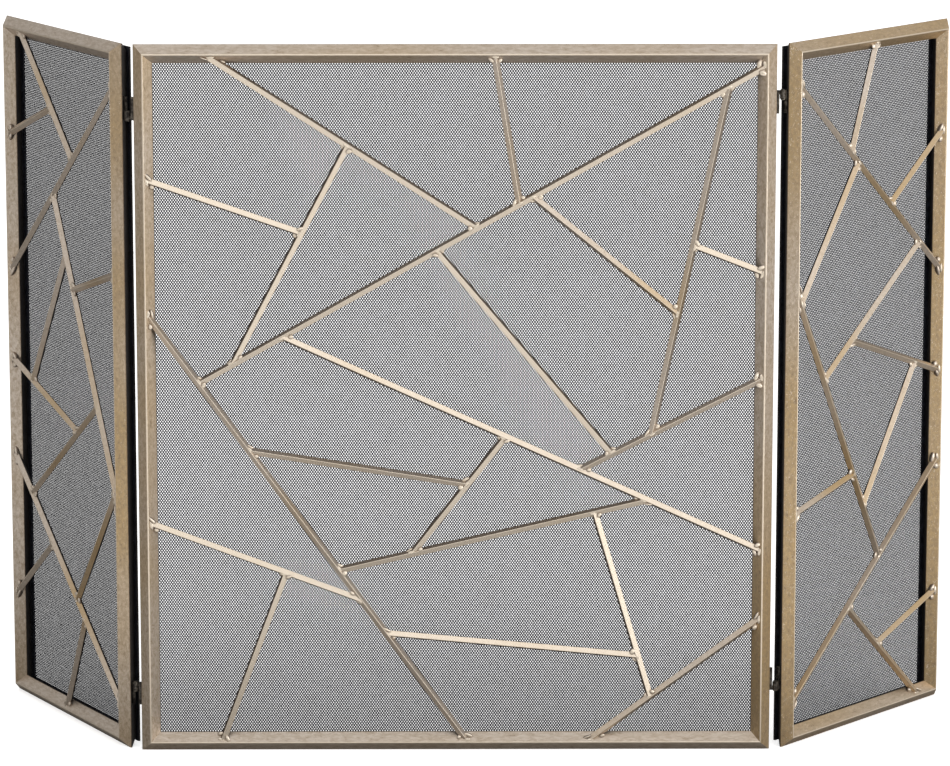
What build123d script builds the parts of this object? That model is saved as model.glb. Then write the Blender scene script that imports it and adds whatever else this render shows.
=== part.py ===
from build123d import *
import os

# Three-panel fireplace screen. Millimetres, +Z up, front faces -Y.
# The origin is on the floor, under the middle of the centre panel.
# The screen stands as it is used: both wings are folded back.

# Driving dimensions
HEIGHT = 804.0  # floor to the top ridge of every panel
CENTRE_WIDTH = 711.0  # over the outer ridges of the centre panel
WING_WIDTH = 304.8
LEFT_FOLD = 60.5  # degrees from flat, towards the back
RIGHT_FOLD = 49.5

TUBE = 15.875  # square frame tube, standing on its corner
TUBE_RADIUS = 1.5
TUBE_WALL = 1.5
TUBE_RIDGE = TUBE / 2**0.5 - TUBE_RADIUS * (2**0.5 - 1)  # tube centre line to its rounded ridge
TUBE_FOOT = 10.2  # tube centre line to the flat that is ground on the underside

BAR = 6.35  # solid square bar, standing on its corner or rolled away from that
BAR_RADIUS = 0.6
BAR_FORWARD = 5.0  # bar centre line in front of the tube centre line

MESH = 1.0
STRIP = 2.0
STRIP_WIDTH = 11.0
SCREW = 3.0
SCREW_CLEARANCE = 3.2
SCREW_DEPTH = 4.0  # length of thread inside the tube
SCREW_HEAD = 6.0
SCREW_HEAD_HEIGHT = 1.8
SCREW_HEAD_ROUND = 1.08
SLOT = 0.9
SLOT_LENGTH = 3.6
SLOT_DEPTH = 0.8
SCREW_END_GAP = 60.0  # corner of the tube centre lines to the first screw
SCREW_PITCH = 170.0  # largest distance from one screw to the next

PIVOT_OUT = 6.6  # ridge of a hinge stile to the hinge axis, along the panel
PIVOT_BACK = 3.2  # middle plane of a panel to the hinge axis
KNUCKLE = 6.4
KNUCKLE_HEIGHT = 4.5
KNUCKLE_GAP = 0.3
PIN = 3.0
PIN_BORE = 3.1
PIN_HEAD = 5.0
PIN_HEAD_HEIGHT = 1.0
LEAF = 2.5
LEAF_HEIGHT = 26.0
LEAF_CLEARANCE = 0.4  # edge of a leaf to the other leaf's knuckle

# Hinges: height of the leaf's middle, and the end of the leaf (1 top, -1 bottom) that has the knuckles
LEFT_HINGES = [(732.0, -1), (65.0, 1)]
RIGHT_HINGES = [(739.0, 1), (81.0, -1)]

# Each bar runs from one place to another. A place is a side of the frame with a distance along it from
# its left or bottom end, or the number of an earlier bar with a share of that bar's length. The third
# value is the bar's roll in degrees: above 0, the face on the left of its run, seen from the front, turns
# to the front.
CENTRE_BARS = [
    (("left", 504), ("bottom", 369), -12),  # 1
    (("right", 781), (1, 0.162), 20),  # 2
    (("top", 79), (2, 0.508), -24),  # 3
    ((3, 0.523), (2, 0.94), 24),  # 4
    (("left", 654), (4, 0.398), 24),  # 5
    (("top", 399), (2, 0.433), -5),  # 6
    ((2, 0.852), ("right", 231), 17),  # 7
    (("right", 430), (7, 0.618), 15),  # 8
    ((2, 0.067), (8, 0.612), -8),  # 9
    ((2, 0.41), (9, 0.651), 10),  # 10
    ((9, 0.454), ("right", 548), 25),  # 11
    ((2, 0.579), (8, 0.825), -26),  # 12
    ((1, 0.596), (7, 0.759), -22),  # 13
    ((7, 0.463), (13, 0.237), 23),  # 14
    ((1, 0.318), (14, 0.406), -17),  # 15
    (("left", 265), (1, 0.665), 25),  # 16
    ((16, 0.647), ("bottom", 91), 28),  # 17
    (("right", 155), ("bottom", 504), -8),  # 18
    ((13, 0.829), (18, 0.638), 24),  # 19
    ((1, 0.744), (19, 0.777), 20),  # 20
]
LEFT_WING_BARS = [
    (("right", 756), ("left", 508), 0),  # 1
    (("top", 45), (1, 0.394), 0),  # 2
    ((1, 0.579), ("right", 271), -12),  # 3
    (("left", 292), ("right", 46), 0),  # 4
    ((3, 0.669), (4, 0.17), 0),  # 5
    (("left", 403), (5, 0.293), 0),  # 6
]
LEFT_WING_STRUTS = [
    (("left", 668), (2, 0.606), 0),
    (("right", 544), (3, 0.303), 0),
    ((3, 0.192), (6, 0.315), 0),
    (("left", 121), (4, 0.369), 0),
    ((3, 0.94), (4, 0.593), 0),
    ((4, 0.666), ("bottom", 145), 0),
]
RIGHT_WING_BARS = [
    (("left", 758), ("right", 513), 0),  # 1
    (("right", 291), ("left", 49), 20),  # 2
    (("left", 528), (2, 0.408), 15),  # 3
    ((1, 0.844), (3, 0.336), 0),  # 4
    ((4, 0.718), ("right", 394), -10),  # 5
    ((2, 0.62), ("bottom", 262), 15),  # 6
]
RIGHT_WING_STRUTS = [
    (("top", 159), (1, 0.362), 0),
    ((1, 0.41), (3, 0.06), 0),
    (("right", 678), (1, 0.636), 0),
    ((5, 0.714), (3, 0.807), 0),
    ((3, 0.688), ("left", 268), 0),
    (("right", 131), (6, 0.409), 0),
]

# Worked out from the driving dimensions
LOW = TUBE_FOOT  # height of the bottom rail's centre line
HIGH = HEIGHT - TUBE_RIDGE  # height of the top rail's centre line
MESH_BACK = TUBE_RIDGE + MESH
STRIP_BACK = MESH_BACK + STRIP
AXIS_X = CENTRE_WIDTH / 2 + PIVOT_OUT

os.makedirs("parts", exist_ok=True)


def save(part, name):
    part.label = name
    export_step(part, f"parts/{name}.step")


# Panels. In a panel's plane x runs to the right, y runs up and z comes out of the front.


def pivot_plane(side, fold):
    """A level plane on a hinge axis, turned with the wing; side is -1 for the left wing, 1 for the right."""
    return Plane(origin=(side * AXIS_X, PIVOT_BACK, 0)).rotated((0, 0, side * fold))


def wing_plane(side, fold):
    """The front of a wing; the origin is at its lower left corner."""
    swing = pivot_plane(side, fold)
    left_edge = PIVOT_OUT if side > 0 else -PIVOT_OUT - WING_WIDTH
    corner = swing.from_local_coords((left_edge, -PIVOT_BACK, 0))
    return Plane(origin=corner, x_dir=swing.x_dir, z_dir=-swing.y_dir)


CENTRE = Plane(origin=(-CENTRE_WIDTH / 2, 0, 0), x_dir=(1, 0, 0), z_dir=(0, -1, 0))
LEFT_WING = wing_plane(-1, LEFT_FOLD)
RIGHT_WING = wing_plane(1, RIGHT_FOLD)


def corners(width):
    """Corners of the tube centre lines, from the lower left one and anticlockwise."""
    left = TUBE_RIDGE
    right = width - TUBE_RIDGE
    return [Vector(left, LOW), Vector(right, LOW), Vector(right, HIGH), Vector(left, HIGH)]


def side_place(width, side, distance):
    """A point on the centre line of one of the frame's tubes."""
    points = {
        "left": (TUBE_RIDGE, distance),
        "right": (width - TUBE_RIDGE, distance),
        "bottom": (distance, LOW),
        "top": (distance, HIGH),
    }
    return Vector(*points[side])


def section_plane(panel, start, end, forward=0.0):
    """The plane across a member at its start, looking towards its end."""
    first = panel.from_local_coords(start + Vector(0, 0, forward))
    last = panel.from_local_coords(end + Vector(0, 0, forward))
    return Plane(origin=first, x_dir=panel.z_dir, z_dir=last - first)


def panel_direction(panel, direction):
    return panel.from_local_coords(direction) - panel.origin


# Screws: evenly spaced along each tube of a panel


def screw_places(start, end):
    length = (end - start).length
    gaps = int((length - 2 * SCREW_END_GAP) / SCREW_PITCH) + 1
    step = (length - 2 * SCREW_END_GAP) / gaps
    along = (end - start).normalized()
    return [start + along * (SCREW_END_GAP + step * index) for index in range(gaps + 1)]


def panel_screw_places(width):
    points = corners(width)
    places = []
    for index in range(4):
        places += screw_places(points[index], points[(index + 1) % 4])
    return places


def back_planes(panel, places, back):
    """Planes that face backwards, at a distance behind the panel's middle plane."""
    origins = [panel.from_local_coords(place - Vector(0, 0, back)) for place in places]
    return [Plane(origin=origin, x_dir=panel.x_dir, z_dir=-panel.z_dir) for origin in origins]


# Frame tubes, mitred at both ends


def frame_tube(panel, start, end):
    """A tube between two corners that follow each other anticlockwise."""
    along = panel_direction(panel, (end - start).normalized())
    inward = panel.z_dir.cross(along)
    length = (end - start).length
    with BuildPart() as tube:
        with BuildSketch(section_plane(panel, start, end).offset(-TUBE)):
            RectangleRounded(TUBE, TUBE, TUBE_RADIUS, rotation=45)
            inner = TUBE - 2 * TUBE_WALL
            Rectangle(inner, inner, rotation=45, mode=Mode.SUBTRACT)
        extrude(amount=length + 2 * TUBE)
        split(bisect_by=Plane(origin=panel.from_local_coords(start), z_dir=along - inward))
        split(bisect_by=Plane(origin=panel.from_local_coords(end), z_dir=-along - inward))
        if min(start.Y, end.Y) == LOW:
            split(bisect_by=Plane.XY)
        with Locations(*back_planes(panel, screw_places(start, end), TUBE_RIDGE)):
            Hole(radius=SCREW / 2, depth=SCREW_DEPTH)
    return tube.part


def build_frame(panel, width, names):
    points = corners(width)
    for index, name in enumerate(names):
        save(frame_tube(panel, points[index], points[(index + 1) % 4]), name)


build_frame(
    CENTRE,
    CENTRE_WIDTH,
    ["centre_bottom_rail", "centre_right_stile", "centre_top_rail", "centre_left_stile"],
)
build_frame(
    LEFT_WING,
    WING_WIDTH,
    ["left_wing_bottom_rail", "left_wing_hinge_stile", "left_wing_top_rail", "left_wing_outer_stile"],
)
build_frame(
    RIGHT_WING,
    WING_WIDTH,
    ["right_wing_bottom_rail", "right_wing_outer_stile", "right_wing_top_rail", "right_wing_hinge_stile"],
)


def frame_envelope(panel, width):
    """The four tubes as solid bars, to cope whatever butts against them from inside the frame."""
    points = corners(width)
    with BuildPart() as envelope:
        for index in range(4):
            start = points[index]
            end = points[(index + 1) % 4]
            with BuildSketch(section_plane(panel, start, end)):
                RectangleRounded(TUBE, TUBE, TUBE_RADIUS, rotation=45)
            extrude(amount=(end - start).length)
    return envelope.part


# Pattern bars, each coped at both ends to what carries it


def bar_ends(width, bar, earlier):
    ends = []
    for where, amount in bar[:2]:
        if where in ("left", "right", "top", "bottom"):
            ends.append(side_place(width, where, amount))
        else:
            first, last = earlier[where - 1]
            ends.append(first + (last - first) * amount)
    return tuple(ends)


def add_bar(panel, start, end, roll):
    with BuildSketch(section_plane(panel, start, end, BAR_FORWARD)) as section:
        RectangleRounded(BAR, BAR, BAR_RADIUS, rotation=45 + roll)
    extrude(section.sketch, amount=(end - start).length)


def build_bars(panel, width, bars, name):
    """Makes one node per bar and returns the bars' ends and solids."""
    envelope = frame_envelope(panel, width)
    lines = []
    solids = []
    for number, bar in enumerate(bars, 1):
        start, end = bar_ends(width, bar, lines)
        with BuildPart() as pattern_bar:
            add_bar(panel, start, end, bar[2])
            add(envelope, mode=Mode.SUBTRACT)
            for where, amount in bar[:2]:
                if isinstance(where, int):
                    add(solids[where - 1], mode=Mode.SUBTRACT)
        whole = pattern_bar.solids().sort_by(SortBy.VOLUME)[-1]  # without the cope's off-cuts
        save(whole, f"{name}_{number:02d}")
        lines.append((start, end))
        solids.append(whole)
    return lines, solids


def build_struts(panel, width, struts, lines, solids, name):
    """Makes one node of the short bars that carry no other bar."""
    with BuildPart() as strut_set:
        for strut in struts:
            start, end = bar_ends(width, strut, lines)
            add_bar(panel, start, end, strut[2])
        add(frame_envelope(panel, width), mode=Mode.SUBTRACT)
        for solid in solids:
            add(solid, mode=Mode.SUBTRACT)
    save(strut_set.part, name)


build_bars(CENTRE, CENTRE_WIDTH, CENTRE_BARS, "centre_bar")
wings = [
    (LEFT_WING, LEFT_WING_BARS, LEFT_WING_STRUTS, "left_wing"),
    (RIGHT_WING, RIGHT_WING_BARS, RIGHT_WING_STRUTS, "right_wing"),
]
for panel, bars, struts, name in wings:
    lines, solids = build_bars(panel, WING_WIDTH, bars, f"{name}_bar")
    build_struts(panel, WING_WIDTH, struts, lines, solids, f"{name}_struts")


# Mesh panels, the strips that clamp them, and their screws


def build_backing(panel, width, name):
    points = corners(width)
    middle = (points[0] + points[2]) / 2
    inner = points[2] - points[0] - Vector(STRIP_WIDTH, STRIP_WIDTH)
    outer = points[2] - points[0] + Vector(STRIP_WIDTH, STRIP_WIDTH)
    places = panel_screw_places(width)

    with BuildPart() as mesh:
        with BuildSketch(*back_planes(panel, [middle], TUBE_RIDGE)):
            Rectangle(outer.X, outer.Y)
        extrude(amount=MESH)
        with Locations(*back_planes(panel, places, MESH_BACK)):
            Hole(radius=SCREW_CLEARANCE / 2, depth=MESH)
    save(mesh.part, f"{name}_mesh")

    with BuildPart() as strip:
        with BuildSketch(*back_planes(panel, [middle], MESH_BACK)):
            Rectangle(outer.X, outer.Y)
            Rectangle(inner.X, inner.Y, mode=Mode.SUBTRACT)
        extrude(amount=STRIP)
        with Locations(*back_planes(panel, places, STRIP_BACK)):
            Hole(radius=SCREW_CLEARANCE / 2, depth=STRIP)
    save(strip.part, f"{name}_mesh_retainer")

    with BuildPart() as screws:
        for plane in back_planes(panel, places, STRIP_BACK):
            with BuildSketch(plane):
                Circle(SCREW_HEAD / 2)
            extrude(amount=SCREW_HEAD_HEIGHT)
            with BuildSketch(plane):
                Circle(SCREW / 2)
            extrude(amount=-(STRIP + MESH + SCREW_DEPTH))
        heads = screws.edges().filter_by(GeomType.CIRCLE).group_by(SortBy.RADIUS)[-1]
        rear = panel_direction(panel, Vector(0, 0, -1))
        tops = [edge for edge in heads if (edge.arc_center - panel.origin).dot(rear) > STRIP_BACK + 1]
        fillet(tops, SCREW_HEAD_ROUND)
        for plane in back_planes(panel, places, STRIP_BACK + SCREW_HEAD_HEIGHT):
            with BuildSketch(plane):
                Rectangle(SLOT, SLOT_LENGTH)
                Rectangle(SLOT_LENGTH, SLOT)
            extrude(amount=-SLOT_DEPTH, mode=Mode.SUBTRACT)
    save(screws.part, f"{name}_mesh_screws")


build_backing(CENTRE, CENTRE_WIDTH, "centre")
build_backing(LEFT_WING, WING_WIDTH, "left_wing")
build_backing(RIGHT_WING, WING_WIDTH, "right_wing")


# Hinges: a leaf with one knuckle on each stile, and a riveted pin through both knuckles


def knuckle_base(middle, end, order):
    """Foot of a knuckle: order 0 is the centre panel's, at the leaf's end, and order 1 is the wing's."""
    outside = middle + end * LEAF_HEIGHT / 2
    inside = outside - end * (order * (KNUCKLE_HEIGHT + KNUCKLE_GAP) + KNUCKLE_HEIGHT)
    return min(inside, inside + end * KNUCKLE_HEIGHT)


def add_leaf(pivot, reach, middle, end, order):
    """reach is 1 where the leaf lies on the pivot's +x side, and -1 on its other side."""
    edge = KNUCKLE / 2 + LEAF_CLEARANCE
    weld = PIVOT_OUT + TUBE / 2
    base = knuckle_base(middle, end, order)
    with BuildSketch(pivot.offset(middle - LEAF_HEIGHT / 2)) as plate:
        with Locations((reach * (edge + weld) / 2, 0)):
            Rectangle(weld - edge, LEAF)
    extrude(plate.sketch, amount=LEAF_HEIGHT)
    with BuildSketch(pivot.offset(base)) as knuckle:
        Circle(KNUCKLE / 2)
        with Locations((reach * edge / 2, 0)):
            Rectangle(edge, LEAF)
    extrude(knuckle.sketch, amount=KNUCKLE_HEIGHT)
    with BuildSketch(pivot.offset(base)) as bore:
        Circle(PIN_BORE / 2)
    extrude(bore.sketch, amount=KNUCKLE_HEIGHT, mode=Mode.SUBTRACT)


with BuildPart() as centre_hinge_leaves:
    for side, hinges in ((-1, LEFT_HINGES), (1, RIGHT_HINGES)):
        for middle, end in hinges:
            add_leaf(pivot_plane(side, 0), -side, middle, end, 0)
    add(frame_envelope(CENTRE, CENTRE_WIDTH), mode=Mode.SUBTRACT)
save(centre_hinge_leaves.part, "centre_hinge_leaves")

for side, fold, hinges, panel, name in (
    (-1, LEFT_FOLD, LEFT_HINGES, LEFT_WING, "left_wing"),
    (1, RIGHT_FOLD, RIGHT_HINGES, RIGHT_WING, "right_wing"),
):
    with BuildPart() as wing_hinge_leaves:
        for middle, end in hinges:
            add_leaf(pivot_plane(side, fold), side, middle, end, 1)
        add(frame_envelope(panel, WING_WIDTH), mode=Mode.SUBTRACT)
    save(wing_hinge_leaves.part, f"{name}_hinge_leaves")

with BuildPart() as hinge_pins:
    for side, hinges in ((-1, LEFT_HINGES), (1, RIGHT_HINGES)):
        for middle, end in hinges:
            stack = 2 * KNUCKLE_HEIGHT + KNUCKLE_GAP
            base = min(knuckle_base(middle, end, 0), knuckle_base(middle, end, 1))
            # the head is seated on the centre knuckle, and the other end is peened clear of the wing's
            seated = base + stack if end > 0 else base
            peened = base - KNUCKLE_GAP if end > 0 else base + stack + KNUCKLE_GAP
            with BuildSketch(pivot_plane(side, 0).offset(seated)):
                Circle(PIN_HEAD / 2)
            extrude(amount=end * PIN_HEAD_HEIGHT)
            with BuildSketch(pivot_plane(side, 0).offset(seated)):
                Circle(PIN / 2)
            extrude(amount=-end * (stack + KNUCKLE_GAP))
            with BuildSketch(pivot_plane(side, 0).offset(peened)):
                Circle(PIN_HEAD / 2)
            extrude(amount=-end * PIN_HEAD_HEIGHT)
save(hinge_pins.part, "hinge_pins")
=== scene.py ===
# %% [markdown]
# # A folding fireplace screen
#
# The screen is three flat panels of square steel tube, hinged so that the two
# wings fold. Thin square bars cross each panel like dropped straws and are
# welded where they meet. The front is leafed in a worn champagne colour, the
# rear is painted black, and a fine wire mesh is held behind each panel to stop
# sparks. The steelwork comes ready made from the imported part, so this script
# adds what steelwork drawn with plain solids can't show: real wires in the
# mesh, the beads of weld, and every finish.

# %% Load the steelwork
import math

import bpy
import numpy as np
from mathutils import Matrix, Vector


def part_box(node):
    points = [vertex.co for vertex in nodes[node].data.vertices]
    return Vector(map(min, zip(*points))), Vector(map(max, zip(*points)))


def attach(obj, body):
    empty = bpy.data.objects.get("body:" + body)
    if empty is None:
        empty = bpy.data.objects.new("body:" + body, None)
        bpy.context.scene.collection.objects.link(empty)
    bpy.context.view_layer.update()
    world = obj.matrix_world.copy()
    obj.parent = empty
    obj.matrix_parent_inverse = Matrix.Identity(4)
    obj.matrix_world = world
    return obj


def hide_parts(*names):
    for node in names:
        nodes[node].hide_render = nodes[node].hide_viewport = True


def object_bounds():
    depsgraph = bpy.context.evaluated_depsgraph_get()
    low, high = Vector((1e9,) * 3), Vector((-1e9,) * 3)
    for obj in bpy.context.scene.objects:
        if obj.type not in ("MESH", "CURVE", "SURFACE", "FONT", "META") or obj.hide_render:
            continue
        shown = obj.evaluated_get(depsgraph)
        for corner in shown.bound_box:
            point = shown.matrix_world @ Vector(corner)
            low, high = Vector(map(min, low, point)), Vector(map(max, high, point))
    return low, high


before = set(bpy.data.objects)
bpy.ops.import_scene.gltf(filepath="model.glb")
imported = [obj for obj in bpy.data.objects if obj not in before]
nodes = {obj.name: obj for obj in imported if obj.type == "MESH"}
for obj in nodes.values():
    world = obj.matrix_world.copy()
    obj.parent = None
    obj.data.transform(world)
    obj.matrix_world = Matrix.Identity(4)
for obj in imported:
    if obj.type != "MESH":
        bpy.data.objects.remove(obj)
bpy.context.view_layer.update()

# %% [markdown]
# ## The three panels
#
# Everything that follows is easier to place on a panel than in the room: so far
# along it, so far up, so far out of its front. Each panel therefore gets its
# own little frame of three directions. A square tube is even about its own
# axis, so the middles of a panel's two stiles say which way it faces, and no
# angle has to be repeated here.

# %% Work out where each panel stands
UP = Vector((0, 0, 1))


def tube_axis(node):
    low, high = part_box(node)
    middle = (low + high) / 2
    return Vector((middle.x, middle.y, 0))


def panel_frame(left_stile, right_stile):
    start, end = tube_axis(left_stile), tube_axis(right_stile)
    along = (end - start).normalized()
    return {"start": start, "along": along, "front": along.cross(UP), "width": (end - start).length,
            "turn": math.atan2(along.y, along.x)}


panels = {
    "centre": panel_frame("centre_left_stile", "centre_right_stile"),
    "left_wing": panel_frame("left_wing_outer_stile", "left_wing_hinge_stile"),
    "right_wing": panel_frame("right_wing_hinge_stile", "right_wing_outer_stile"),
}
bodies = {"centre": "centre_panel", "left_wing": "left_wing", "right_wing": "right_wing"}
for name, panel in panels.items():
    turn = round(math.degrees(panel["turn"]), 1)
    print(name, "width", round(panel["width"], 4), "turned", turn, "degrees")

# %% Read corner places of a piece on its panel
def on_panel(panel, node):
    """The corners of a steel piece as (along, up, out of the front), in metres."""
    mesh = nodes[node].data
    corners = np.empty(len(mesh.vertices) * 3)
    mesh.vertices.foreach_get("co", corners)
    corners = corners.reshape(-1, 3) - np.array(panel["start"])
    axes = np.array([panel["along"], UP, panel["front"]])
    return corners @ axes.T


# %% [markdown]
# ## Tools for modelling
#
# Blender's operators act on whatever is selected, so each step starts from an
# empty selection. A piece is modelled as if its panel stood square to the room,
# with X along it, Z up and -Y out of its front, and is then turned to where the
# panel stands. Applying that turn leaves the object itself at the origin, as
# the steelwork's objects are, so that a pattern sits the same way on both.

# %% Make the modelling helpers
def select_only(*objects):
    bpy.ops.object.select_all(action="DESELECT")
    for item in objects:
        item.select_set(True)
    bpy.context.view_layer.objects.active = objects[-1] if objects else None


def stand_on_panel(piece, panel):
    """Turns a piece that was modelled square to the room onto its panel, and fixes it there."""
    piece.location = panel["start"]
    piece.rotation_euler = (0, 0, panel["turn"])
    select_only(piece)
    bpy.ops.object.transform_apply(location=True, rotation=True, scale=True)


def joined(parts, name):
    select_only(*parts)
    bpy.ops.object.transform_apply(location=True, rotation=True, scale=True)
    bpy.ops.object.join()
    piece = bpy.context.view_layer.objects.active
    piece.name = piece.data.name = name
    return piece


# %% [markdown]
# ## The wire mesh
#
# Spark mesh is two families of fine wire that cross as narrow diamonds. It
# could be a flat sheet with holes painted in it, but then it would look like
# cloth from the side. Here every wire is real. One long wire is modelled, an
# Array modifier repeats it across the panel, and four cuts trim the family to
# the opening. A second family leans the other way and lies just behind. Real
# wire is round, but here it is drawn flat, so that a panel seen at a slant
# doesn't close up. A wire has only four sides, because there are hundreds of
# them in each panel, and it is divided along its length, because a renderer
# finds short faces sooner than long slanting ones.

# %% Lay one family of wires
WIRE_SLOPE = math.radians(54.7)
WIRE_PITCH = 0.00238
WIRE_WIDTH = 0.00110
WIRE_DEPTH = 0.00022
WIRE_STEP = 0.025


def trim(place, outward):
    """Cuts the piece in edit mode along a plane, takes away what lies outward and closes the cut."""
    bpy.ops.mesh.select_all(action="SELECT")
    bpy.ops.mesh.bisect(plane_co=place, plane_no=outward, use_fill=True, clear_outer=True)


def wire_family(low, high, depth):
    """Wires that climb to the right inside the box low to high, at this depth behind the panel."""
    width, height = high.x - low.x, high.z - low.z
    across = Vector((math.sin(WIRE_SLOPE), 0, -math.cos(WIRE_SLOPE)))
    reach = abs(across.x) * width + abs(across.z) * height
    count = int(reach / WIRE_PITCH)
    middle = Vector(((low.x + high.x) / 2, depth, (low.z + high.z) / 2))
    first = middle - across * WIRE_PITCH * (count - 1) / 2
    bpy.ops.object.select_all(action="DESELECT")
    length = width + height
    bpy.ops.mesh.primitive_cylinder_add(vertices=4, radius=WIRE_WIDTH * math.sqrt(0.5), depth=length,
                                        rotation=(0, 0, math.pi / 4))
    wires = bpy.context.object
    bpy.ops.object.transform_apply(location=True, rotation=True, scale=True)
    wires.scale.y = WIRE_DEPTH / WIRE_WIDTH
    wires.rotation_euler.y = math.pi / 2 - WIRE_SLOPE
    wires.location = first
    bpy.ops.object.transform_apply(location=True, rotation=True, scale=True)
    bpy.ops.object.mode_set(mode="EDIT")
    bpy.ops.mesh.select_all(action="DESELECT")
    bpy.ops.mesh.select_mode(type="EDGE")
    bpy.ops.object.mode_set(mode="OBJECT")
    corners = wires.data.vertices
    for edge in wires.data.edges:
        start, end = (corners[corner].co for corner in edge.vertices)
        edge.select = (end - start).length > length / 2
    bpy.ops.object.mode_set(mode="EDIT")
    bpy.ops.mesh.subdivide(number_cuts=int(length / WIRE_STEP))
    bpy.ops.object.mode_set(mode="OBJECT")
    repeat = wires.modifiers.new("across the panel", "ARRAY")
    repeat.count = count
    repeat.use_relative_offset = False
    repeat.use_constant_offset = True
    repeat.constant_offset_displace = across * WIRE_PITCH
    bpy.ops.object.modifier_apply(modifier=repeat.name)
    bpy.ops.object.mode_set(mode="EDIT")
    trim(low, (-1, 0, 0))
    trim(low, (0, 0, -1))
    trim(high, (1, 0, 0))
    trim(high, (0, 0, 1))
    bpy.ops.object.mode_set(mode="OBJECT")
    return wires, count


# %% Stretch the mesh over each panel
def wire_mesh(name):
    panel = panels[name]
    corners = on_panel(panel, name + "_mesh")
    low_x, low_z, back = corners.min(axis=0)
    high_x, high_z, face = corners.max(axis=0)
    low, high = Vector((low_x, 0, low_z)), Vector((high_x, 0, high_z))
    rising, count = wire_family(low, high, -face + WIRE_DEPTH / 2)
    falling, count = wire_family(low, high, -back - WIRE_DEPTH / 2)
    bpy.ops.object.mode_set(mode="EDIT")
    bpy.ops.mesh.select_all(action="SELECT")
    bpy.ops.transform.mirror(constraint_axis=(True, False, False),
                             center_override=((low_x + high_x) / 2, 0, 0))
    bpy.ops.mesh.normals_make_consistent(inside=False)
    bpy.ops.object.mode_set(mode="OBJECT")
    mesh = joined([falling, rising], name + "_wires")
    stand_on_panel(mesh, panel)
    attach(mesh, bodies[name])
    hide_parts(name + "_mesh")
    print(mesh.name, "has", 2 * count, "wires and", len(mesh.data.polygons), "faces")
    return mesh


wires = {name: wire_mesh(name) for name in panels}

# %% [markdown]
# ## The weld beads
#
# Each bar ends in a notch that fits its neighbour, and the welder closed the
# corner on each side with a short run of molten metal. Those beads catch the
# light more than anything else on the screen. One bead is modelled from a
# rounded ball: pinched towards the corner, dented a little where the torch
# paused, and smoothed. Each corner then gets its own copy, which points into
# the corner, spreads from bar to bar and is sized for the corner's angle. One
# more copy closes the seam where the bar's front ridge stops. The corners come
# from the bars themselves: a bar's side edges stop exactly where it meets its
# neighbour.

# %% Find the corners where a bar stops
def loose_bars(points, triangles):
    """Splits a node of several bars into one set of corners for each bar."""
    keys = {}
    names = [keys.setdefault(tuple(np.round(p, 6)), len(keys)) for p in points]
    owner = list(range(len(keys)))

    def root(k):
        while owner[k] != k:
            owner[k] = owner[owner[k]]
            k = owner[k]
        return k

    for a, b, c in triangles:
        owner[root(names[a])] = root(names[b])
        owner[root(names[b])] = root(names[c])
    groups = {}
    for point, key in zip(points, names):
        groups.setdefault(root(key), []).append(point)
    return [np.array(group) for group in groups.values()]


END_REACH = 0.03
RIDGE_BAND = 0.0002
EDGE_BAND = 0.0005


def bar_corners(points):
    """For each end of a bar: its sharp corner, its wide corner and the end of its front ridge,
    with the direction back along the bar."""
    ridge = points[points[:, 2] > points[:, 2].max() - RIDGE_BAND]
    far = ridge[np.argmax(np.linalg.norm(ridge - ridge[0], axis=1))]
    near = ridge[np.argmax(np.linalg.norm(ridge - far, axis=1))]
    axis = (far - near)[:2] / np.linalg.norm((far - near)[:2])
    side = np.array([-axis[1], axis[0]])
    ends = []
    for way in (-1, 1):
        reach = points[:, :2] @ axis * way
        end = points[reach > reach.max() - END_REACH]
        lean = end[:, :2] @ side
        found = []
        for edge in (lean > lean.max() - EDGE_BAND, lean < lean.min() + EDGE_BAND):
            line = end[edge]
            found.append(line[np.argmax(line[:, :2] @ axis * way)])
        found.sort(key=lambda corner: corner[:2] @ axis * way)
        sharp, wide = found
        tip = ridge[np.argmax(ridge[:, :2] @ axis * way)]
        ends.append((sharp, wide, tip, -way * axis))
    return ends


# %% Model one bead
BEAD = 0.001


def first_bead():
    bpy.ops.object.select_all(action="DESELECT")
    bpy.ops.mesh.primitive_ico_sphere_add(subdivisions=3, radius=BEAD, location=(0, 0, 0))
    bead = bpy.context.object
    bead.name = "bead"
    bpy.ops.object.mode_set(mode="EDIT")
    bpy.ops.mesh.select_all(action="DESELECT")
    bpy.ops.object.mode_set(mode="OBJECT")
    for corner in bead.data.vertices:
        corner.select = corner.co.x > 0.55 * BEAD
    bpy.ops.object.mode_set(mode="EDIT")
    bpy.ops.transform.resize(value=(1.25, 0.72, 0.8), center_override=(0.5 * BEAD, 0, 0))
    bpy.ops.mesh.select_all(action="DESELECT")
    bpy.ops.object.mode_set(mode="OBJECT")
    for corner in bead.data.vertices:
        corner.select = corner.co.y < -0.6 * BEAD and corner.co.x < 0.3 * BEAD
    bpy.ops.object.mode_set(mode="EDIT")
    bpy.ops.transform.translate(value=(0, 0.12 * BEAD, 0))
    bpy.ops.mesh.select_all(action="SELECT")
    bpy.ops.mesh.vertices_smooth(factor=0.5, repeat=2)
    bpy.ops.object.mode_set(mode="OBJECT")
    bpy.ops.object.shade_smooth()
    return bead


bead = first_bead()
print("the bead has", len(bead.data.polygons), "faces")

# %% Copy it into every corner
FRAME_REACH = 0.0125
FRAME_WELD = 1.3
WELD_LEG = 4.8
WELD_DEPTH = 2.6
WELD_LIFT = 0.0007
LEAST_SPAN, LEAST_REACH = 0.7, 0.6
SEAM_BACK, SEAM_SINK = 0.0006, 0.0012
rng = np.random.default_rng(11)


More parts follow.
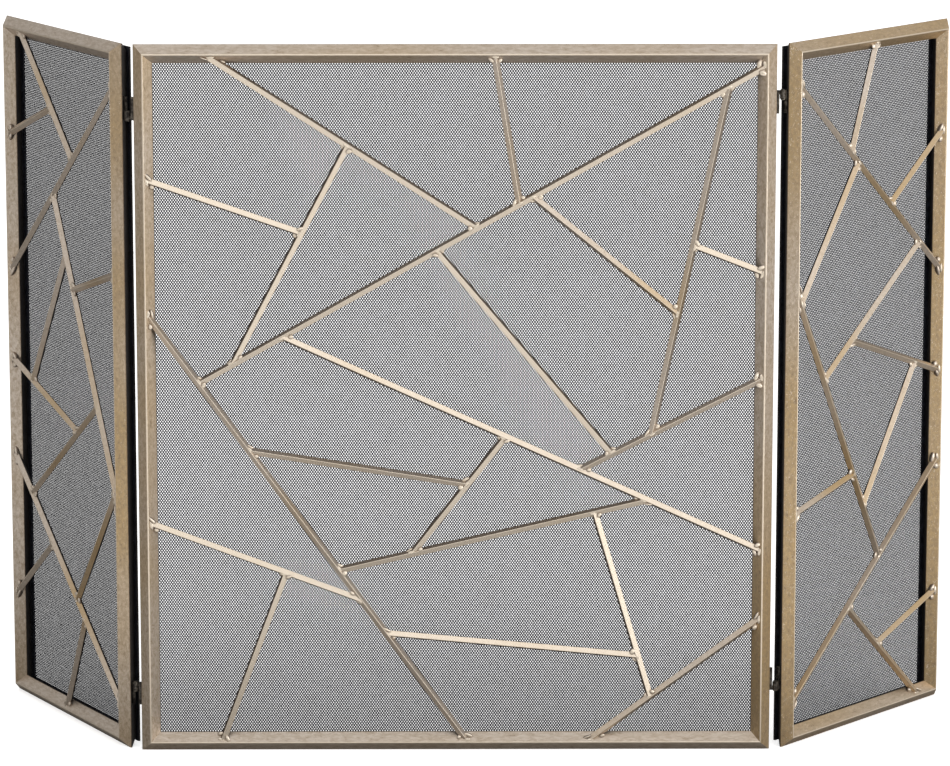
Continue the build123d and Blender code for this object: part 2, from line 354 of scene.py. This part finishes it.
def lay_bead(place, way, reach, span, depth):
    """One bead at place = (along, up, out): its reach along way, its span across way and its depth
    out of the panel are all so many times the size of the first bead."""
    copy = bead.copy()
    copy.data = bead.data.copy()
    bpy.context.scene.collection.objects.link(copy)
    copy.location = (place[0], -place[2], place[1])
    copy.rotation_euler = (rng.uniform(-0.3, 0.3), -math.atan2(way[1], way[0]), 0)
    copy.scale = (reach, depth, span)
    return copy


def weld_end(end, panel, top):
    """A bead in each of the two corners at a bar's end, and one over the seam between them."""
    sharp, wide, tip, back = end
    neighbour = sharp[:2] - wide[:2]
    neighbour /= max(np.linalg.norm(neighbour), 1e-9)
    on_frame = min(sharp[0], panel["width"] - sharp[0], sharp[1], top - sharp[1]) < FRAME_REACH
    full = FRAME_WELD if on_frame else 1.0
    beads = []
    for corner, along in ((sharp, neighbour), (wide, -neighbour)):
        way = back + along
        way /= np.linalg.norm(way)
        half = math.acos(np.clip(back @ along, -1, 1)) / 2
        leg = WELD_LEG * full * rng.uniform(0.85, 1.2)
        place = np.array(corner)
        place[:2] += way * leg * math.cos(half) * 0.4 * BEAD
        place[2] += WELD_LIFT
        span = leg * math.sin(half) + LEAST_SPAN
        reach = leg * math.cos(half) * 0.6 + LEAST_REACH
        beads.append(lay_bead(place, -way, reach, span, full * WELD_DEPTH))
    seam = np.array(tip)
    seam[:2] += back * SEAM_BACK
    seam[2] -= SEAM_SINK
    beads.append(lay_bead(seam, neighbour, full * rng.uniform(3.8, 4.4), full * 2.1, full * 1.5))
    return beads


def weld_beads(name):
    panel = panels[name]
    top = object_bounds()[1].z
    beads = []
    for node in sorted(nodes):
        if not node.startswith((name + "_bar_", name + "_struts")):
            continue
        triangles = [tuple(face.vertices) for face in nodes[node].data.polygons]
        for bar in loose_bars(on_panel(panel, node), triangles):
            for end in bar_corners(bar):
                beads += weld_end(end, panel, top)
    count = len(beads)
    piece = joined(beads, name + "_welds")
    stand_on_panel(piece, panel)
    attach(piece, bodies[name])
    print(piece.name, "has", count, "beads and", len(piece.data.polygons), "faces")
    return piece


welds = {name: weld_beads(name) for name in panels}
bpy.data.objects.remove(bead)

# %% [markdown]
# ## Small tools for the finishes
#
# A finish is a network of nodes. These helpers add a node with its settings,
# start a group with named inputs and outputs, and make the few steps that every
# finish repeats: a noise, a stretched range, a sum and a blend of two colours.
# A group is built once and placed in every material that needs its effect.

# %% Make the node helpers
def add_node(tree, kind, **settings):
    node = tree.nodes.new(kind)
    for setting, value in settings.items():
        setattr(node, setting, value)
    return node


def start_group(name, inputs, outputs):
    group = bpy.data.node_groups.new(name, "ShaderNodeTree")
    for label, kind, value in inputs:
        socket = group.interface.new_socket(name=label, in_out="INPUT", socket_type="NodeSocket" + kind)
        if value is not None:
            socket.default_value = value
    for label, kind in outputs:
        group.interface.new_socket(name=label, in_out="OUTPUT", socket_type="NodeSocket" + kind)
    return group, add_node(group, "NodeGroupInput"), add_node(group, "NodeGroupOutput")


def noise(tree, place, scale, detail=4.0, roughness=0.55, distortion=0.0):
    texture = add_node(tree, "ShaderNodeTexNoise")
    texture.inputs["Scale"].default_value = scale
    texture.inputs["Detail"].default_value = detail
    texture.inputs["Roughness"].default_value = roughness
    texture.inputs["Distortion"].default_value = distortion
    tree.links.new(place, texture.inputs["Vector"])
    return texture.outputs["Fac"]


def remap(tree, value, low, high, to_low=0.0, to_high=1.0):
    """Stretches the part of a value between low and high over a new range, and stops at its ends."""
    mapping = add_node(tree, "ShaderNodeMapRange", interpolation_type="SMOOTHSTEP")
    mapping.inputs["From Min"].default_value = low
    mapping.inputs["From Max"].default_value = high
    mapping.inputs["To Min"].default_value = to_low
    mapping.inputs["To Max"].default_value = to_high
    tree.links.new(value, mapping.inputs["Value"])
    return mapping.outputs["Result"]


def calculate(tree, operation, first, second=None, third=None):
    sums = add_node(tree, "ShaderNodeMath", operation=operation)
    for socket, value in zip(sums.inputs, (first, second, third)):
        if isinstance(value, (int, float)):
            socket.default_value = value
        elif value is not None:
            tree.links.new(value, socket)
    return sums.outputs["Value"]


def blend_colours(tree, mask, first, second):
    """Goes from the first colour to the second as the mask goes from 0 to 1."""
    mixer = add_node(tree, "ShaderNodeMix", data_type="RGBA")
    for socket, value in ((mixer.inputs[0], mask), (mixer.inputs[6], first), (mixer.inputs[7], second)):
        if isinstance(value, (int, float, tuple)):
            socket.default_value = value
        else:
            tree.links.new(value, socket)
    return mixer.outputs[2]


def colour(red, green, blue):
    """A colour as painted chips are read, 0 to 255, turned into the linear light that shaders use."""
    return tuple((c / 255 / 12.92) if c < 10 else ((c / 255 + 0.055) / 1.055) ** 2.4
                 for c in (red, green, blue)) + (1.0,)


# %% [markdown]
# ## Worn leaf
# Metal leaf is laid over brown size and rubbed back to a satin. From across
# the room it is one soft metal that drifts between silver and gold. From close
# up it is a patchwork: pale flakes where the leaf lies double, tan where it is
# thin, and a little brown where it has gone. A slow noise makes the drift, a
# middling one the patches, a fine one the grain, and a fourth picks out the
# pale flakes. The group also asks how far the surface faces the front. Where it
# faces the front squarely, on the tubes' front ridges and the bars' forward
# faces, the group paints a highlight: it blends towards pale and lets less brown
# through. On faces that turn aside it paints shade, blending towards the brown. So the group also asks
# how far the surface faces the front.

# %% Build the worn leaf group
# The last input sets how strongly faces that look to the front are painted pale: a painted highlight.
leaf_group, leaf_in, leaf_out = start_group(
    "worn_leaf_and_painted_light",
    [("Place", "Vector", None), ("Facing", "Float", 1.0), ("Wear", "Float", 0.5),
     ("Gold", "Float", 0.5), ("Flakes", "Float", 0.3), ("Polish", "Float", 0.5)],
    [("Colour", "Color"), ("Metal", "Float"), ("Roughness", "Float"), ("Height", "Float")])

place = leaf_in.outputs["Place"]
drift = noise(leaf_group, place, 5.0, detail=2.0)
patches = noise(leaf_group, place, 310.0, detail=5.0, roughness=0.7, distortion=0.5)
grain = noise(leaf_group, place, 1300.0, detail=2.0)
curls = noise(leaf_group, place, 620.0, detail=3.0, roughness=0.6, distortion=1.6)
# The ridge mask is high where the surface looks squarely to the front: the tubes' front ridges and the
# bars' forward faces.
ridge = remap(leaf_group, leaf_in.outputs["Facing"], 0.78, 0.97)

silver, gold = colour(206, 194, 181), colour(190, 163, 122)
thin_leaf, size_brown_and_side_shade, pale_flake_and_highlight = colour(158, 138, 112), colour(106, 86, 66), colour(240, 227, 207)
tone = calculate(leaf_group, "MULTIPLY_ADD", drift, 3.0, -1.5)
tone = calculate(leaf_group, "ADD", tone, leaf_in.outputs["Gold"])
soft = blend_colours(leaf_group, remap(leaf_group, tone, 0.0, 1.0), silver, gold)

thin = remap(leaf_group, patches, 0.64, 0.38)
thin = calculate(leaf_group, "MULTIPLY", thin, leaf_in.outputs["Wear"])
patchy = blend_colours(leaf_group, thin, soft, thin_leaf)
gone = remap(leaf_group, calculate(leaf_group, "MULTIPLY_ADD", grain, 0.25, patches), 0.50, 0.43)
gone = calculate(leaf_group, "MULTIPLY", gone, leaf_in.outputs["Wear"])
# Less brown is let through where the ridge mask is high, as part of the painted highlight.
worn_through_off_highlight = calculate(leaf_group, "MULTIPLY", gone, calculate(leaf_group, "MULTIPLY_ADD", ridge, -0.8, 1.0))
patchy = blend_colours(leaf_group, worn_through_off_highlight, patchy, size_brown_and_side_shade)
flakes = remap(leaf_group, curls, 0.60, 0.68)
flakes = calculate(leaf_group, "MULTIPLY", flakes, leaf_in.outputs["Flakes"])
leafed = blend_colours(leaf_group, flakes, patchy, pale_flake_and_highlight)
# Painted highlight: faces that look to the front are blended towards the pale colour.
painted_ridge_highlight = calculate(leaf_group, "MULTIPLY", ridge, leaf_in.outputs["Polish"])
leafed = blend_colours(leaf_group, painted_ridge_highlight, leafed, pale_flake_and_highlight)
# Painted shade: faces that turn aside from the front are blended towards the brown size, up to seven
# tenths of the way.
painted_side_shade = remap(leaf_group, leaf_in.outputs["Facing"], 0.60, 0.32, 0.0, 0.7)
leafed = blend_colours(leaf_group, painted_side_shade, leafed, size_brown_and_side_shade)
leaf_group.links.new(leafed, leaf_out.inputs["Colour"])
leaf_group.links.new(remap(leaf_group, worn_through_off_highlight, 0.0, 1.0, 0.78, 0.45), leaf_out.inputs["Metal"])
rough = calculate(leaf_group, "MULTIPLY_ADD", grain, 0.14, remap(leaf_group, thin, 0, 1, 0.30, 0.40))
leaf_group.links.new(rough, leaf_out.inputs["Roughness"])
relief = calculate(leaf_group, "MULTIPLY", grain, 0.35)
relief = calculate(leaf_group, "MULTIPLY_ADD", flakes, 0.6, relief)
relief = calculate(leaf_group, "SUBTRACT", relief, calculate(leaf_group, "MULTIPLY", worn_through_off_highlight, 0.4))
leaf_group.links.new(relief, leaf_out.inputs["Height"])
print("worn leaf group:", len(leaf_group.nodes), "nodes")

# %% [markdown]
# ## Black paint
#
# The rear was sprayed black after the front was leafed. Sprayed paint dries to
# a slightly pebbled satin, dulled by a little dust. The same paint covers the
# strips and the screws that hold the mesh, so it is a group too.

# %% Build the black paint group
paint_group, paint_in, paint_out = start_group(
    "sprayed_black",
    [("Place", "Vector", None), ("Dust", "Float", 0.3)],
    [("Colour", "Color"), ("Roughness", "Float"), ("Height", "Float")])
pebble = noise(paint_group, paint_in.outputs["Place"], 700.0, detail=3.0)
dusting = noise(paint_group, paint_in.outputs["Place"], 60.0, detail=5.0)
dust = remap(paint_group, dusting, 0.42, 0.7)
dust = calculate(paint_group, "MULTIPLY", dust, paint_in.outputs["Dust"])
black, dusty = colour(50, 46, 44), colour(82, 76, 70)
paint_group.links.new(blend_colours(paint_group, dust, black, dusty), paint_out.inputs["Colour"])
dull = remap(paint_group, pebble, 0.3, 0.7, 0.38, 0.52)
dull = calculate(paint_group, "MULTIPLY_ADD", dust, 0.3, dull)
paint_group.links.new(dull, paint_out.inputs["Roughness"])
paint_group.links.new(pebble, paint_out.inputs["Height"])
print("sprayed black group:", len(paint_group.nodes), "nodes")


# %% [markdown]
# ## Leaf in front, black behind
#
# On every tube and bar the leaf stops somewhere around the side edges, in a
# ragged line, and the black begins. A piece knows its own surface direction, so
# turning that direction into the panel's frame tells front from rear, and a
# little noise makes the line ragged. One material is made for each kind of
# piece on each panel, because the three panels face three ways. The rails,
# stiles, bars and melted welds differ in how worn, golden and flaky their leaf
# is, in how strong the painted highlight on their front-facing faces is, and in
# how far round the edge the leaf reaches.

# %% Make a leafed material
def start_material(name):
    material = bpy.data.materials.new(name)
    material.use_nodes = True
    tree = material.node_tree
    return material, tree, tree.nodes["Principled BSDF"], add_node(tree, "ShaderNodeTexCoord")


def turned(tree, vector, angle, stretch=(1, 1, 1)):
    mapping = add_node(tree, "ShaderNodeMapping", vector_type="POINT")
    mapping.inputs["Rotation"].default_value = (0, 0, -angle)
    tree.links.new(vector, mapping.inputs["Vector"])
    drawn = add_node(tree, "ShaderNodeVectorMath", operation="MULTIPLY")
    drawn.inputs[1].default_value = stretch
    tree.links.new(mapping.outputs["Vector"], drawn.inputs[0])
    return drawn.outputs["Vector"]


def place_group(tree, group, **values):
    node = add_node(tree, "ShaderNodeGroup", node_tree=group)
    for label, value in values.items():
        socket = node.inputs[label.replace("_", " ")]
        if isinstance(value, (int, float)):
            socket.default_value = value
        else:
            tree.links.new(value, socket)
    return node


def blend_values(tree, mask, first, second):
    return calculate(tree, "ADD", calculate(tree, "MULTIPLY", mask, second),
                     calculate(tree, "MULTIPLY", calculate(tree, "SUBTRACT", 1.0, mask), first))


def leafed_material(name, angle, stretch, wear, gold, flakes, ridge_highlight_strength, edge=0.0):
    material, tree, shader, where = start_material(name)
    place = turned(tree, where.outputs["Object"], angle, stretch)
    direction = add_node(tree, "ShaderNodeSeparateXYZ")
    tree.links.new(turned(tree, where.outputs["Normal"], angle), direction.inputs[0])
    facing = calculate(tree, "MULTIPLY", direction.outputs["Y"], -1.0)
    leaf = place_group(tree, leaf_group, Place=place, Facing=facing, Wear=wear, Gold=gold, Flakes=flakes,
                       Polish=ridge_highlight_strength)
    paint = place_group(tree, paint_group, Place=where.outputs["Object"], Dust=0.3)
    ragged = calculate(tree, "MULTIPLY_ADD", noise(tree, where.outputs["Object"], 260.0), 0.9, facing)
    front = remap(tree, ragged, edge + 0.40, edge + 0.48)
    body = blend_colours(tree, front, paint.outputs["Colour"], leaf.outputs["Colour"])
    tree.links.new(body, shader.inputs["Base Color"])
    tree.links.new(calculate(tree, "MULTIPLY", front, leaf.outputs["Metal"]), shader.inputs["Metallic"])
    rough = blend_values(tree, front, paint.outputs["Roughness"], leaf.outputs["Roughness"])
    tree.links.new(rough, shader.inputs["Roughness"])
    bump = add_node(tree, "ShaderNodeBump")
    bump.inputs["Strength"].default_value = 0.35
    bump.inputs["Distance"].default_value = 0.0002
    height = blend_values(tree, front, paint.outputs["Height"], leaf.outputs["Height"])
    tree.links.new(height, bump.inputs["Height"])
    tree.links.new(bump.outputs["Normal"], shader.inputs["Normal"])
    return material


def wear_material(material, *names):
    for name in names:
        slots = nodes[name].material_slots
        for one in slots:
            one.link = "DATA"
            one.material = material
        if not slots:
            nodes[name].data.materials.append(material)


# %% Leaf the tubes and bars
WARMTH = {"centre": 0.2, "left_wing": 0.25, "right_wing": 0.55}
FLAKY = {"centre": 0.35, "left_wing": 0.45, "right_wing": 0.9}

for name, panel in panels.items():
    warmth, flaky, turn = WARMTH[name], FLAKY[name], panel["turn"]
    # The setting after the flakes is the strength of the painted highlight on faces that look to the
    # front.
    rails = leafed_material(name + "_leafed_rail", turn, (0.35, 1, 1), wear=0.45, gold=warmth,
                            flakes=flaky / 2, ridge_highlight_strength=0.9)
    stiles = leafed_material(name + "_leafed_stile", turn, (1, 1, 0.6), wear=0.6, gold=warmth + 0.2,
                             flakes=flaky, ridge_highlight_strength=0.9)
    bars = leafed_material(name + "_leafed_bar", turn, (1, 1, 1), wear=0.3, gold=warmth - 0.15,
                           flakes=0.1, ridge_highlight_strength=0.7)
    melted = leafed_material(name + "_leafed_weld", turn, (1, 1, 1), wear=0.0, gold=-0.6,
                             flakes=1.0, ridge_highlight_strength=1.0, edge=-0.3)
    for node in nodes:
        if node.startswith(name) and node.endswith("_rail"):
            wear_material(rails, node)
        elif node.startswith(name) and node.endswith("_stile"):
            wear_material(stiles, node)
        elif node.startswith((name + "_bar_", name + "_struts")):
            wear_material(bars, node)
    welds[name].data.materials.clear()
    welds[name].data.materials.append(melted)
print("leafed materials:", [m.name for m in bpy.data.materials if "_leafed_" in m.name])


# %% [markdown]
# ## Strips, screws, hinges and wire
#
# The strips behind the mesh are painted like the rear, and the screws a little
# more rubbed. The hinges are dark oiled steel, with brighter pins that turning
# has polished. The wire is blackened steel with a dull sheen.

# %% Paint the strips and screws
def painted_material(name, dust, shine):
    material, tree, shader, where = start_material(name)
    paint = place_group(tree, paint_group, Place=where.outputs["Object"], Dust=dust)
    tree.links.new(paint.outputs["Colour"], shader.inputs["Base Color"])
    tree.links.new(paint.outputs["Roughness"], shader.inputs["Roughness"])
    shader.inputs["Metallic"].default_value = shine
    bump = add_node(tree, "ShaderNodeBump")
    bump.inputs["Strength"].default_value = 0.3
    bump.inputs["Distance"].default_value = 0.0001
    tree.links.new(paint.outputs["Height"], bump.inputs["Height"])
    tree.links.new(bump.outputs["Normal"], shader.inputs["Normal"])
    return material


strip_black = painted_material("black_strip", 0.35, 0.0)
screw_black = painted_material("black_screw", 0.15, 0.6)
for name in panels:
    wear_material(strip_black, name + "_mesh_retainer")
    wear_material(screw_black, name + "_mesh_screws")


# %% Oil the hinges and blacken the wire
def bare_steel(name, dark, light, scale, rough_low, rough_high):
    material, tree, shader, where = start_material(name)
    patches = noise(tree, where.outputs["Object"], scale, detail=6.0, roughness=0.6)
    tint = blend_colours(tree, remap(tree, patches, 0.38, 0.66), dark, light)
    tree.links.new(tint, shader.inputs["Base Color"])
    shader.inputs["Metallic"].default_value = 0.85
    tree.links.new(remap(tree, patches, 0.3, 0.7, rough_low, rough_high), shader.inputs["Roughness"])
    bump = add_node(tree, "ShaderNodeBump")
    bump.inputs["Strength"].default_value = 0.2
    bump.inputs["Distance"].default_value = 0.0001
    tree.links.new(patches, bump.inputs["Height"])
    tree.links.new(bump.outputs["Normal"], shader.inputs["Normal"])
    return material


hinge_steel = bare_steel("oiled_hinge", colour(44, 40, 38), colour(112, 106, 98), 220.0, 0.35, 0.55)
pin_steel = bare_steel("polished_pin", colour(70, 66, 60), colour(120, 114, 104), 300.0, 0.25, 0.4)
wire_steel = bare_steel("blackened_wire", colour(48, 50, 60), colour(74, 78, 90), 150.0, 0.45, 0.6)
wear_material(hinge_steel, "centre_hinge_leaves", "left_wing_hinge_leaves", "right_wing_hinge_leaves")
wear_material(pin_steel, "hinge_pins")
for mesh in wires.values():
    mesh.data.materials.clear()
    mesh.data.materials.append(wire_steel)

# %% [markdown]
# ## Floor, light and camera
#
# The screen stands on a plain white floor. Square bars show their light best
# when it comes mostly from the front: the faces that look forward go pale and
# the ones that turn away go brown, and the leaf adds a painted highlight to the
# first and painted shade to the second. A large softbox hangs in front, above the
# camera's line, a smaller one stands to the right and a faint one to the left.
# The floor just in front of the screen glows, to light the faces that look
# down. The sky is brightest to the front right, dips around the camera so that
# it leaves no hot streak on the bars, stays up overhead for the top rails, and
# is dim low down behind the screen. The camera looks slightly down from far
# away with a long lens, so the panels keep their shapes.

# %% Lay the floor
FLOOR_SEEN = 0.62
FLOOR_GLOW = 0.85

bpy.ops.object.select_all(action="DESELECT")
bpy.ops.mesh.primitive_plane_add(size=40, location=(0, 0, 0))
floor = bpy.context.object
floor.name = "floor"
floor_white, tree, shader, where = start_material("floor_white")
cloudy = noise(tree, where.outputs["Object"], 1.5)
paper = blend_colours(tree, cloudy, (0.93, 0.93, 0.93, 1), (0.96, 0.96, 0.96, 1))
rays = add_node(tree, "ShaderNodeLightPath")
tree.links.new(blend_colours(tree, rays.outputs["Is Camera Ray"], (0.32, 0.31, 0.30, 1), paper),
               shader.inputs["Base Color"])
reach = add_node(tree, "ShaderNodeSeparateXYZ")
tree.links.new(where.outputs["Object"], reach.inputs[0])
bounce = calculate(tree, "MULTIPLY", remap(tree, reach.outputs["Y"], -0.05, -0.6, 0.0, FLOOR_GLOW),
                   remap(tree, reach.outputs["Y"], -2.2, -1.1))
emission = blend_values(tree, rays.outputs["Is Camera Ray"], bounce, FLOOR_SEEN)
tree.links.new(emission, shader.inputs["Emission Strength"])
shader.inputs["Emission Color"].default_value = (1, 1, 1, 1)
shader.inputs["Roughness"].default_value = 0.9
shader.inputs["Specular IOR Level"].default_value = 0.1
floor.data.materials.append(floor_white)

# %% Light the studio
SKY_BRIGHTEST = Vector((0.45, -0.88, 0.25)).normalized()
SKY_DIP = Vector((0, -0.98, 0.17)).normalized()

world = bpy.data.worlds.new("studio")
bpy.context.scene.world = world
world.use_nodes = True
sky = world.node_tree
sky.nodes.clear()
outlook = add_node(sky, "ShaderNodeTexCoord")
towards = add_node(sky, "ShaderNodeVectorMath", operation="DOT_PRODUCT")
towards.inputs[1].default_value = SKY_BRIGHTEST
sky.links.new(outlook.outputs["Generated"], towards.inputs[0])
glow = remap(sky, towards.outputs["Value"], -0.35, 0.95, 0.14, 1.3)
ahead = add_node(sky, "ShaderNodeVectorMath", operation="DOT_PRODUCT")
ahead.inputs[1].default_value = SKY_DIP
sky.links.new(outlook.outputs["Generated"], ahead.inputs[0])
glow = calculate(sky, "MULTIPLY", glow, remap(sky, ahead.outputs["Value"], 0.72, 0.97, 1.0, 0.36))
upward = add_node(sky, "ShaderNodeSeparateXYZ")
sky.links.new(outlook.outputs["Generated"], upward.inputs[0])
glow = calculate(sky, "MAXIMUM", glow, remap(sky, upward.outputs["Z"], 0.15, 0.55, 0.0, 0.75))
rays = add_node(sky, "ShaderNodeLightPath")
seen = blend_values(sky, rays.outputs["Is Camera Ray"], glow, 1.0)
background = add_node(sky, "ShaderNodeBackground")
background.inputs["Color"].default_value = (1.0, 0.985, 0.965, 1)
sky.links.new(seen, background.inputs["Strength"])
output = add_node(sky, "ShaderNodeOutputWorld")
sky.links.new(background.outputs["Background"], output.inputs["Surface"])


def softbox(name, place, aim, width, height, watts):
    light = bpy.data.lights.new(name, "AREA")
    light.shape = "RECTANGLE"
    light.size, light.size_y, light.energy = width, height, watts
    lamp = bpy.data.objects.new(name, light)
    bpy.context.scene.collection.objects.link(lamp)
    lamp.location = place
    lamp.rotation_euler = (Vector(aim) - Vector(place)).to_track_quat("-Z", "Y").to_euler()
    return lamp


softbox("front", (0.35, -2.9, 2.3), (0, 0, 0.4), 3.0, 2.0, 14)
softbox("right", (2.6, -1.5, 0.8), (0, 0.1, 0.4), 1.2, 1.6, 22)
softbox("left", (-2.4, -1.6, 1.2), (0, 0.1, 0.4), 0.9, 1.4, 3)

# %% Set up the camera
lens = bpy.data.cameras.new("camera")
lens.lens, lens.sensor_width = 178.8, 36
lens.clip_start, lens.clip_end = 0.1, 100
camera = bpy.data.objects.new("camera", lens)
bpy.context.scene.collection.objects.link(camera)
camera.location = (-0.007, -5.174, 1.442)
camera.rotation_euler = (math.radians(78.86), 0, math.radians(-0.32))
bpy.context.scene.camera = camera
bpy.context.scene.view_settings.view_transform = "Standard"
